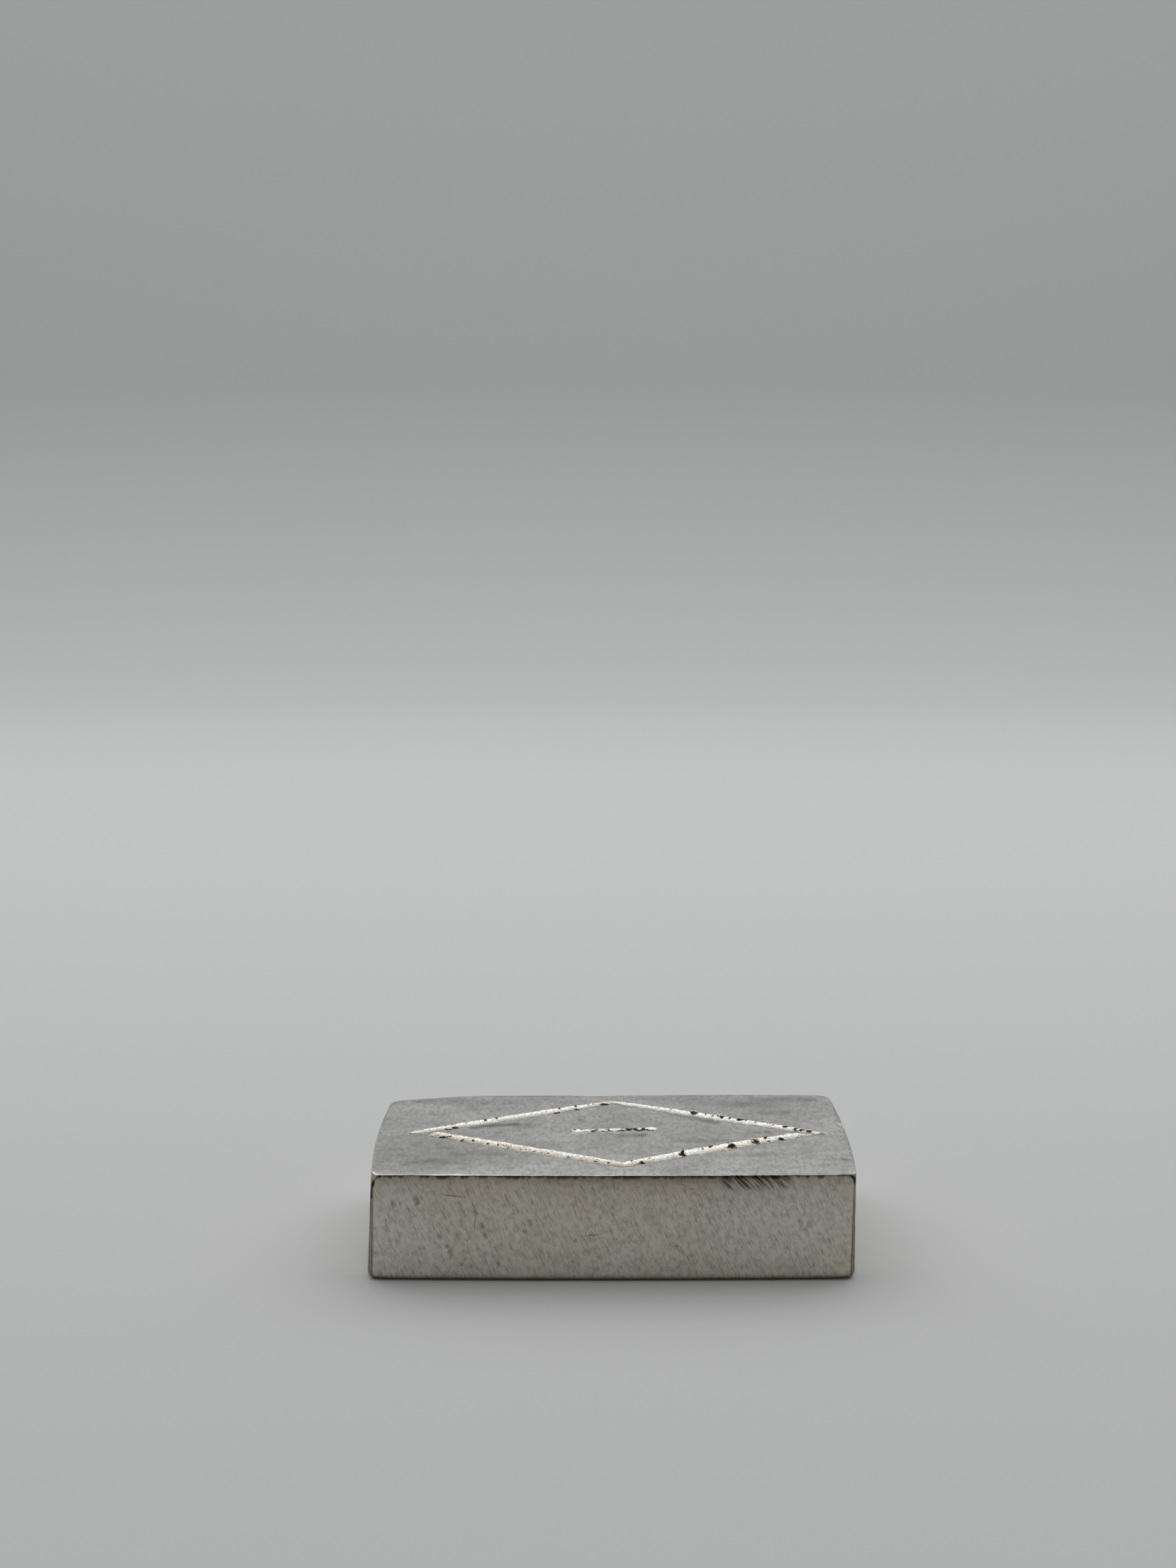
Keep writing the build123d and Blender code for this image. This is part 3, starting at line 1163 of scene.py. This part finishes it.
class Recipe:
    """A metal in the making, with short ways to add the nodes that both finishes use."""

    def __init__(self, name: str) -> None:
        """Starts a node material with this name."""
        self.material = bpy.data.materials.new(name)
        self.material.use_nodes = True
        self.tree = self.material.node_tree
        self.shader = self.tree.nodes["Principled BSDF"]
        self.shader.inputs["Metallic"].default_value = 1.0
        self.place = add_node(self.tree, "ShaderNodeTexCoord").outputs["Object"]

    def trace(self, trace: Trace) -> bpy.types.NodeSocket:
        """Reads one of the mesh's traces."""
        return add_node(self.tree, "ShaderNodeAttribute", attribute_name=trace.value).outputs["Fac"]

    def lean(self, vector: bpy.types.NodeSocket, degrees: float) -> bpy.types.NodeSocket:
        """Turns coordinates about the y axis."""
        turn = (0.0, math.radians(degrees), 0.0)
        return add_node(self.tree, "ShaderNodeMapping", {"Vector": vector, "Rotation": turn}).outputs[0]

    def noise(
        self,
        vector: bpy.types.NodeSocket,
        sizes: tuple[float, float, float],
        detail: float = 2.0,
        roughness: float = 0.5,
    ) -> bpy.types.NodeSocket:
        """Adds a cloudy pattern.

        Args:
            vector: the coordinates to draw it in, in metres.
            sizes: the size of a cloud along each axis, in mm.
            detail: how often it repeats on a smaller scale.
            roughness: how strong the smaller scales are.

        Returns:
            Its strength at each place.
        """
        scaled = add_node(self.tree, "ShaderNodeMapping", {"Vector": vector, "Scale": per_size(*sizes)})
        return add_node(self.tree, "ShaderNodeTexNoise", {
            "Vector": scaled.outputs[0], "Scale": 1.0, "Detail": detail, "Roughness": roughness,
        }).outputs["Fac"]

    def ramp(
        self,
        value: bpy.types.NodeSocket,
        low: float = 0.0,
        high: float = 1.0,
        floor: float = 0.0,
        ceiling: float = 1.0,
    ) -> bpy.types.NodeSocket:
        """Turns values between low and high into ones between floor and ceiling, held past both ends."""
        return add_node(self.tree, "ShaderNodeMapRange", {
            "Value": value, "From Min": low, "From Max": high, "To Min": floor, "To Max": ceiling,
        }).outputs[0]

    def reckon(
        self,
        operation: str,
        *values: bpy.types.NodeSocket | float,
        clamp: bool = False,
    ) -> bpy.types.NodeSocket:
        """Adds a sum with sockets and numbers, by the name that Blender gives it."""
        terms = dict(enumerate(values))
        return add_node(self.tree, "ShaderNodeMath", terms, operation=operation, use_clamp=clamp).outputs[0]

    def tint(
        self,
        share: bpy.types.NodeSocket,
        first: bpy.types.NodeSocket | str,
        second: bpy.types.NodeSocket | str,
    ) -> bpy.types.NodeSocket:
        """Blends one colour into another.

        Args:
            share: how much of the second there is at each place.
            first: a hex colour or the socket that gives one.
            second: the same.

        Returns:
            The blend.
        """
        ends = [linear(colour) if isinstance(colour, str) else colour for colour in (first, second)]
        return add_node(self.tree, "ShaderNodeMix", {
            "Factor": share, "A": ends[0], "B": ends[1],
        }, data_type="RGBA").outputs["Result"]

    def ease(
        self,
        share: bpy.types.NodeSocket,
        first: bpy.types.NodeSocket,
        second: float,
    ) -> bpy.types.NodeSocket:
        """Blends a value into a number by the share at each place."""
        return add_node(self.tree, "ShaderNodeMix", {
            "Factor": share, "A": first, "B": second,
        }, data_type="FLOAT").outputs["Result"]

    def pits(
        self,
        spacing: float,
        rim: float,
        bottom: float,
        rarity: float,
        depth: float = 1.0,
    ) -> bpy.types.NodeSocket:
        """Scatters round pits.

        Args:
            spacing: the distance between neighbouring places for a pit, in mm.
            rim: where a pit starts, as a share of the spacing from its middle.
            bottom: where it is deepest, the same way.
            rarity: the share of places that stay without one.
            depth: how strong a pit is in its middle.

        Returns:
            The strength at each place.
        """
        cells = add_node(self.tree, "ShaderNodeTexVoronoi", {
            "Vector": self.place, "Scale": per_size(spacing)[0],
        }).outputs
        hole = self.ramp(cells["Distance"], rim, bottom, ceiling=depth)
        chosen = self.reckon("GREATER_THAN", cells["Color"], rarity)
        return self.reckon("MULTIPLY", hole, chosen)

    def done(
        self,
        colour: bpy.types.NodeSocket,
        roughness: bpy.types.NodeSocket,
        relief: bpy.types.NodeSocket,
        strength: float,
        height: float,
    ) -> bpy.types.Material:
        """Joins colour, roughness and relief to the shader.

        Args:
            colour: feeds the base colour.
            roughness: feeds the roughness.
            relief: the share of the full height at each place.
            strength: how strong that relief shows.
            height: the full height, in mm.

        Returns:
            The finished material.
        """
        bump = add_node(self.tree, "ShaderNodeBump", {
            "Strength": strength, "Distance": height * MM, "Height": relief,
        })
        self.tree.links.new(colour, self.shader.inputs["Base Color"])
        self.tree.links.new(roughness, self.shader.inputs["Roughness"])
        self.tree.links.new(bump.outputs["Normal"], self.shader.inputs["Normal"])
        return self.material


@dataclass(frozen=True)
class Hair:
    """A hair scratch or part of a crack in the front face, by the x and z of its ends."""

    start: tuple[float, float]
    end: tuple[float, float]
    breadth: float = 0.10
    strength: float = 0.35

    def drawn(self, recipe: Recipe, front: float) -> bpy.types.NodeSocket:
        """Draws the hair as a thin spindle.

        Args:
            recipe: the material that takes it.
            front: the y of the face.

        Returns:
            Its strength at each place.
        """
        run = np.array(self.end) - np.array(self.start)
        middle = (np.array(self.end) + np.array(self.start)) / 2
        reach = 0.6 * math.hypot(*run)
        spindle = add_node(recipe.tree, "ShaderNodeMapping", {
            "Vector": recipe.place,
            "Location": (middle[0] * MM, front * MM, middle[1] * MM),
            "Rotation": (0.0, -math.atan2(run[1], run[0]), 0.0),
            "Scale": (reach * MM, 3 * MM, self.breadth * MM),
        }, vector_type="TEXTURE")
        fade = add_node(recipe.tree, "ShaderNodeTexGradient", {
            "Vector": spindle.outputs[0],
        }, gradient_type="SPHERICAL")
        return recipe.reckon("MULTIPLY", fade.outputs["Fac"], 2 * self.strength)


@dataclass(frozen=True)
class CastSkin:
    """Silver as it left an open mould: a dull, faintly mottled skin with pits and hair scratches.

    It mirrors softly, so it takes the tone of what lies in front of it; oxide in its hollows, and
    painted shade under the top edge and at the foot, make it look warmer and darker than the worked faces.
    """

    name: str = "cast_silver_skin"
    warm: str = "#CBC5B5"
    pale: str = "#D6D1C5"
    cool: str = "#D0CFC8"
    speck: str = "#726B5E"
    rust_and_shade: str = "#6B5C49"
    oxide_and_shade: str = "#1E1A15"
    bare_and_highlight: str = "#B8B1A5"
    roughness: float = 0.46
    bare_roughness: float = 0.3
    blotch: float = 3.2
    mottle: float = 0.55
    mottling: float = 0.44          # how dark the mottles are
    scratch_length: float = 0.8
    scratch_width: float = 0.075    # real ones are finer and wouldn't show
    scratch_lean: float = 22.0      # degrees off upright
    scratching: float = 0.45        # how dark the scratches are
    pit_spacing: float = 0.9
    pitting: float = 0.32           # how dark the pits are
    hatch_length: float = 2.4
    hatch_width: float = 0.10
    hatch_lean: float = 42.0
    hatching: float = 0.6           # how dark the file's lines are
    front: float = -11.8            # y of the face with the hair scratches
    sheltered: float = 0.5          # how marked the other faces are beside that one
    relief: float = 0.03            # height of the mottles
    hairs: tuple[Hair, ...] = (
        Hair((-15.2, 7.84), (-12.2, 7.45), strength=0.28),
        Hair((-12.7, 8.8), (-12.1, 7.1), strength=0.22),
        Hair((-12.15, 7.3), (-11.7, 6.2), strength=0.28),
        Hair((-11.75, 6.4), (-11.85, 4.3), strength=0.22),
        Hair((-2.4, 4.1), (-0.8, 4.24), strength=0.24),
        Hair((5.9, 8.95), (6.5, 8.3), strength=0.3),
        Hair((6.4, 8.37), (7.35, 8.18), strength=0.28),
    )

    def make(self) -> bpy.types.Material:
        """Makes the material.

        Returns:
            A node material that reads the mesh's traces.
        """
        recipe = Recipe(self.name)
        axes = add_node(recipe.tree, "ShaderNodeSeparateXYZ", {0: recipe.place}).outputs
        behind = recipe.reckon("SUBTRACT", axes["Y"], self.front * MM)
        # Adding y to x makes scratches lean alike on the ends and on the long faces
        walked = recipe.reckon("ADD", axes["X"], behind)
        walls = add_node(recipe.tree, "ShaderNodeCombineXYZ", {
            "X": walked, "Y": axes["Y"], "Z": axes["Z"],
        }).outputs[0]
        mottles = recipe.noise(recipe.place, (self.mottle,) * 3, detail=4.0, roughness=0.65)
        flaws = self.flaws(recipe, walls, behind, mottles)
        hatch = self.file_lines(recipe, walls)
        dirt_and_shade = self.dirt_and_shade(recipe, hatch)
        worn_and_highlight = recipe.trace(Trace.WORN_AND_HIGHLIGHT)

        blotches = recipe.noise(recipe.place, (self.blotch,) * 3, detail=3.0, roughness=0.6)
        colour = recipe.tint(blotches, self.warm, self.pale)
        colour = recipe.tint(recipe.trace(Trace.COOL), colour, self.cool)
        colour = recipe.tint(flaws, colour, self.speck)
        # painted shade: these tints also darken the line under the front edge, the other top edges and the
        # foot
        colour = recipe.tint(recipe.ramp(dirt_and_shade, high=0.5, ceiling=0.85), colour, self.rust_and_shade)
        colour = recipe.tint(recipe.ramp(dirt_and_shade, low=0.4), colour, self.oxide_and_shade)
        # painted highlight: the rubbed front edge is tinted pale
        colour = recipe.tint(worn_and_highlight, colour, self.bare_and_highlight)
        dulled = recipe.reckon("MULTIPLY_ADD", mottles, 0.22, self.roughness - 0.11)
        polished = recipe.ease(worn_and_highlight, dulled, self.bare_roughness)
        hollows = recipe.reckon("MULTIPLY_ADD", flaws, -0.7, mottles)
        relief = recipe.reckon("MULTIPLY_ADD", hatch, -1.2, hollows)
        return recipe.done(colour, polished, relief, strength=0.5, height=self.relief)

    def flaws(
        self,
        recipe: Recipe,
        walls: bpy.types.NodeSocket,
        behind: bpy.types.NodeSocket,
        mottles: bpy.types.NodeSocket,
    ) -> bpy.types.NodeSocket:
        """Adds the mottles, scratches and pits, fewer away from the front.

        Args:
            recipe: the material that takes them.
            walls: coordinates that go round the sides.
            behind: the distance behind the front face.
            mottles: the pattern of the mottles.

        Returns:
            How dark they are at each place.
        """
        leaning = recipe.lean(walls, self.scratch_lean)
        sizes = (self.scratch_width, self.scratch_length, self.scratch_length)
        scratches = recipe.noise(leaning, sizes, detail=1.0)
        scratched = recipe.ramp(scratches, low=0.5, high=0.74)
        pits = recipe.pits(self.pit_spacing, rim=0.24, bottom=0.08, rarity=0.62)
        clouds = recipe.ramp(mottles, low=0.44, high=0.78, ceiling=self.mottling)
        marks = recipe.reckon("MULTIPLY_ADD", scratched, self.scratching, clouds)
        marks = recipe.reckon("MULTIPLY_ADD", pits, self.pitting, marks, clamp=True)
        handled = recipe.ramp(behind, low=0.8 * MM, high=2.5 * MM, floor=1.0, ceiling=self.sheltered)
        return recipe.reckon("MULTIPLY", marks, handled)

    def file_lines(self, recipe: Recipe, walls: bpy.types.NodeSocket) -> bpy.types.NodeSocket:
        """Adds the lines that a file left under the front edge.

        Args:
            recipe: the material that takes them.
            walls: coordinates that go round the sides.

        Returns:
            Their strength at each place.
        """
        turned = recipe.lean(walls, self.hatch_lean)
        lines = recipe.noise(turned, (self.hatch_width, self.hatch_length, self.hatch_length), detail=1.0)
        scraped = recipe.ramp(lines, low=0.46, high=0.58)
        return recipe.reckon("MULTIPLY", scraped, recipe.trace(Trace.HATCH))

    def dirt_and_shade(self, recipe: Recipe, hatch: bpy.types.NodeSocket) -> bpy.types.NodeSocket:
        """Joins the oxide and painted shade on the mesh with the oxide in hair scratches and file lines.

        Args:
            recipe: the material that takes it.
            hatch: the strength of the file lines.

        Returns:
            How thick it is at each place.
        """
        stain_and_shade = recipe.trace(Trace.STAIN_AND_SHADE)
        for hair in self.hairs:
            stain_and_shade = recipe.reckon("MAXIMUM", stain_and_shade, hair.drawn(recipe, self.front))
        return recipe.reckon("MULTIPLY_ADD", hatch, self.hatching, stain_and_shade, clamp=True)


@dataclass(frozen=True)
class FiledSilver:
    """Silver drawn flat with a fine file, along the bar and across it, then cut with a graver.

    The file leaves a satin face with faint streaks and flecks, the graver bright walls with a
    grainy sparkle, and oxide with painted shade stays dark in the corners that neither tool reached;
    a painted highlight brightens the rubbed front edge.
    """

    name: str = "filed_and_graver_cut_silver"
    satin: str = "#BDBDBA"
    streak: str = "#A5A5A2"
    smudge: str = "#6A6965"
    bright: str = "#DADAD7"
    torn: str = "#A3A29E"
    rust_and_shade: str = "#A89E8B"
    oxide_and_shade: str = "#1A1612"
    satin_roughness: float = 0.34
    bright_roughness: float = 0.24
    streak_length: float = 1.2
    streak_width: float = 0.9
    line_length: float = 5.0
    line_width: float = 0.10        # file lines are finer and wouldn't show
    haze: float = 6.0
    fleck_width: float = 0.30       # they lie across the bar, as a file pushed that way leaves them
    fleck_length: float = 0.75
    flecking: float = 0.55          # how dark the flecks are
    grain: float = 0.16
    pit_spacing: float = 1.6
    pitting: float = 0.55           # how dark the pits are
    relief: float = 0.05            # height of the torn grain

    def make(self) -> bpy.types.Material:
        """Makes the material.

        Returns:
            A node material that reads the mesh's traces.
        """
        recipe = Recipe(self.name)
        cut = recipe.trace(Trace.CUT)
        sizes = (self.line_length, self.line_width, self.line_width)
        lines = recipe.noise(recipe.place, sizes, detail=1.0)
        grains = recipe.noise(recipe.place, (self.grain,) * 3, roughness=0.6)
        dirt_and_shade = self.dirt_and_shade(recipe, cut, grains)

        sparkle = recipe.ramp(grains, low=0.64, high=0.40)
        graved = recipe.tint(sparkle, self.torn, self.bright)
        colour = recipe.tint(cut, self.filed(recipe), graved)
        colour = recipe.tint(recipe.trace(Trace.SMUDGE), colour, self.smudge)
        # painted shade: these tints also darken the cuts' beds, steps, pits and the straight dash
        colour = recipe.tint(recipe.ramp(dirt_and_shade, high=0.55), colour, self.rust_and_shade)
        colour = recipe.tint(recipe.ramp(dirt_and_shade, low=0.5), colour, self.oxide_and_shade)
        # painted highlight: the rubbed front top edge is tinted bright
        colour = recipe.tint(recipe.trace(Trace.WORN_AND_HIGHLIGHT), colour, self.bright)
        satin = recipe.reckon("MULTIPLY_ADD", lines, 0.12, self.satin_roughness - 0.06)
        sheen = recipe.ease(cut, satin, self.bright_roughness)
        rough = recipe.reckon("MULTIPLY_ADD", dirt_and_shade, 0.2, sheen)
        facets = recipe.reckon("MULTIPLY", grains, cut)
        relief = recipe.reckon("MULTIPLY_ADD", lines, 0.08, facets)
        return recipe.done(colour, rough, relief, strength=0.7, height=self.relief)

    def filed(self, recipe: Recipe) -> bpy.types.NodeSocket:
        """Colours the filed face, with its streaks and flecks.

        Args:
            recipe: the material that takes it.

        Returns:
            The colour.
        """
        drawn = (self.streak_length, self.streak_width, self.streak_width)
        streaks = recipe.noise(recipe.place, drawn, detail=3.0, roughness=0.6)
        hazes = recipe.noise(recipe.place, (self.haze,) * 3)
        crossed = (self.fleck_width, self.fleck_length, self.fleck_width)
        flecks = recipe.noise(recipe.place, crossed, roughness=0.6)
        toned = recipe.ramp(recipe.reckon("ADD", streaks, hazes), low=0.78, high=1.2)
        flecked = recipe.ramp(flecks, low=0.42, high=0.74, ceiling=self.flecking)
        face = recipe.tint(toned, self.streak, self.satin)
        return recipe.tint(flecked, face, self.smudge)

    def dirt_and_shade(
        self,
        recipe: Recipe,
        cut: bpy.types.NodeSocket,
        grains: bpy.types.NodeSocket,
    ) -> bpy.types.NodeSocket:
        """Joins the oxide and painted shade on the mesh, made ragged by the grain, with that in torn grain
        and pits.

        Args:
            recipe: the material that takes it.
            cut: the share of bare metal.
            grains: the pattern of the grain.

        Returns:
            How thick it is at each place.
        """
        pits = recipe.pits(self.pit_spacing, rim=0.10, bottom=0.04, rarity=0.68, depth=self.pitting)
        torn = recipe.ramp(grains, low=0.6, high=0.72, ceiling=0.8)
        holes = recipe.reckon("MULTIPLY_ADD", torn, cut, pits)
        ragged = recipe.ramp(grains, low=0.3, high=0.7, floor=0.4, ceiling=1.3)
        return recipe.reckon("MULTIPLY_ADD", recipe.trace(Trace.STAIN_AND_SHADE), ragged, holes, clamp=True)


@dataclass(frozen=True)
class Lamp:
    """A flat soft box that faces the bar."""

    name: str
    place: tuple[float, float, float]
    breadth: float
    depth: float
    radiance: float

    def hang(self) -> bpy.types.Object:
        """Hangs the lamp, with its power worked out from its size.

        Returns:
            The lamp, hidden from the camera.
        """
        light = bpy.data.lights.new(self.name, "AREA")
        light.shape = "RECTANGLE"
        light.size = self.breadth * MM
        light.size_y = self.depth * MM
        light.energy = self.radiance * math.pi * light.size * light.size_y
        lamp = bpy.data.objects.new(self.name, light)
        lamp.location = Vector(self.place) * MM
        lamp.rotation_euler = (-Vector(self.place)).to_track_quat("-Z", "Y").to_euler()
        lamp.visible_camera = False
        bpy.context.scene.collection.objects.link(lamp)
        return lamp


@dataclass(frozen=True)
class Studio:
    """A pale sweep that rises behind the bar, two soft boxes, and a dim even surrounding."""

    floor: str = "#CFD0D0"
    surround: str = "#FFFFFF"
    dim: float = 0.13                 # what lights the bar from all round
    seen: float = 0.40                # what the camera and mirror-like metal see there
    near: float = -900.0
    back: float = 480.0
    bend: float = 90.0
    tall: float = 236.0
    half_breadth: float = 900.0
    lamps: tuple[Lamp, ...] = (
        Lamp("overhead_soft_box", (0.0, 160.0, 480.0), 1300.0, 500.0, 1.36),
        Lamp("rear_soft_box", (0.0, 441.0, 345.0), 1300.0, 220.0, 0.95),
    )

    def sweep(self) -> bpy.types.Object:
        """Makes the floor and the backdrop as one bent sheet.

        Returns:
            The sheet.
        """
        turns = np.linspace(0, math.pi / 2, 25)
        profile = [(self.near, 0.0)]
        profile += [
            (self.back - self.bend + self.bend * math.sin(turn), self.bend - self.bend * math.cos(turn))
            for turn in turns
        ]
        profile.append((self.back, self.tall))
        edges = (-self.half_breadth, self.half_breadth)
        points = [(x * MM, y * MM, z * MM) for y, z in profile for x in edges]
        faces = [(2 * i, 2 * i + 1, 2 * i + 3, 2 * i + 2) for i in range(len(profile) - 1)]
        mesh = bpy.data.meshes.new("sweep")
        mesh.from_pydata(points, [], faces)
        mesh.polygons.foreach_set("use_smooth", np.ones(len(faces), bool))
        material = bpy.data.materials.new("matt_paper")
        material.use_nodes = True
        shader = material.node_tree.nodes["Principled BSDF"]
        shader.inputs["Base Color"].default_value = linear(self.floor)
        shader.inputs["Roughness"].default_value = 0.95
        shader.inputs["Specular IOR Level"].default_value = 0.1
        mesh.materials.append(material)
        sheet = bpy.data.objects.new("sweep", mesh)
        bpy.context.scene.collection.objects.link(sheet)
        return sheet

    def light_up(self) -> None:
        """Hangs the lamps and lights the surrounding."""
        for lamp in self.lamps:
            lamp.hang()
        world = bpy.data.worlds.new("studio")
        world.use_nodes = True
        tree = world.node_tree
        path = add_node(tree, "ShaderNodeLightPath").outputs
        mirrored = add_node(tree, "ShaderNodeMath", {
            0: path["Is Camera Ray"], 1: path["Is Glossy Ray"],
        }, operation="MAXIMUM")
        direct = add_node(tree, "ShaderNodeMath", {
            0: mirrored.outputs[0], 1: path["Is Transmission Ray"],
        }, operation="MAXIMUM")
        level = add_node(tree, "ShaderNodeMapRange", {
            "Value": direct.outputs[0], "To Min": self.dim, "To Max": self.seen,
        })
        surround = tree.nodes["Background"]
        surround.inputs["Color"].default_value = linear(self.surround)
        tree.links.new(level.outputs[0], surround.inputs["Strength"])
        bpy.context.scene.world = world


@dataclass(frozen=True)
class Viewpoint:
    """The camera, in front of the bar and a little above it."""

    place: tuple[float, float, float] = (-2.37, -191.34, 72.11)
    pitch_down: float = 9.0           # degrees
    turn_right: float = 0.11          # degrees
    focal_pixels: float = 3068.0
    sensor: float = 36.0

    def aim(self) -> bpy.types.Object:
        """Sets up the camera and makes it the scene's own.

        Returns:
            The camera.
        """
        data = bpy.data.cameras.new("camera")
        data.sensor_width = self.sensor
        data.lens = self.focal_pixels * self.sensor / IMAGE_HEIGHT
        data.clip_start = 0.01
        data.clip_end = 10.0
        camera = bpy.data.objects.new("camera", data)
        camera.location = Vector(self.place) * MM
        camera.rotation_euler = (math.radians(90 - self.pitch_down), 0.0, -math.radians(self.turn_right))
        bpy.context.scene.collection.objects.link(camera)
        bpy.context.scene.camera = camera
        return camera


def main() -> None:
    """Builds the bar over its solid, then the studio round it."""
    logging.basicConfig(level=logging.INFO, format="%(name)s: %(message)s")
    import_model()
    low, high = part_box(NODE)
    length, width, height = (high - low) / MM

    block = BarBlock(length, width, height)
    bar = block.build()
    block.dress(bar)
    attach(bar, BODY)
    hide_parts(NODE)
    log.info("%s: %d faces", bar.name, len(bar.data.polygons))

    studio = Studio()
    sheet = studio.sweep()
    log.info("%s: the floor and backdrop", sheet.name)
    studio.light_up()
    Viewpoint().aim()
    bpy.context.scene.view_settings.view_transform = "Standard"


if __name__ == "__main__":
    main()
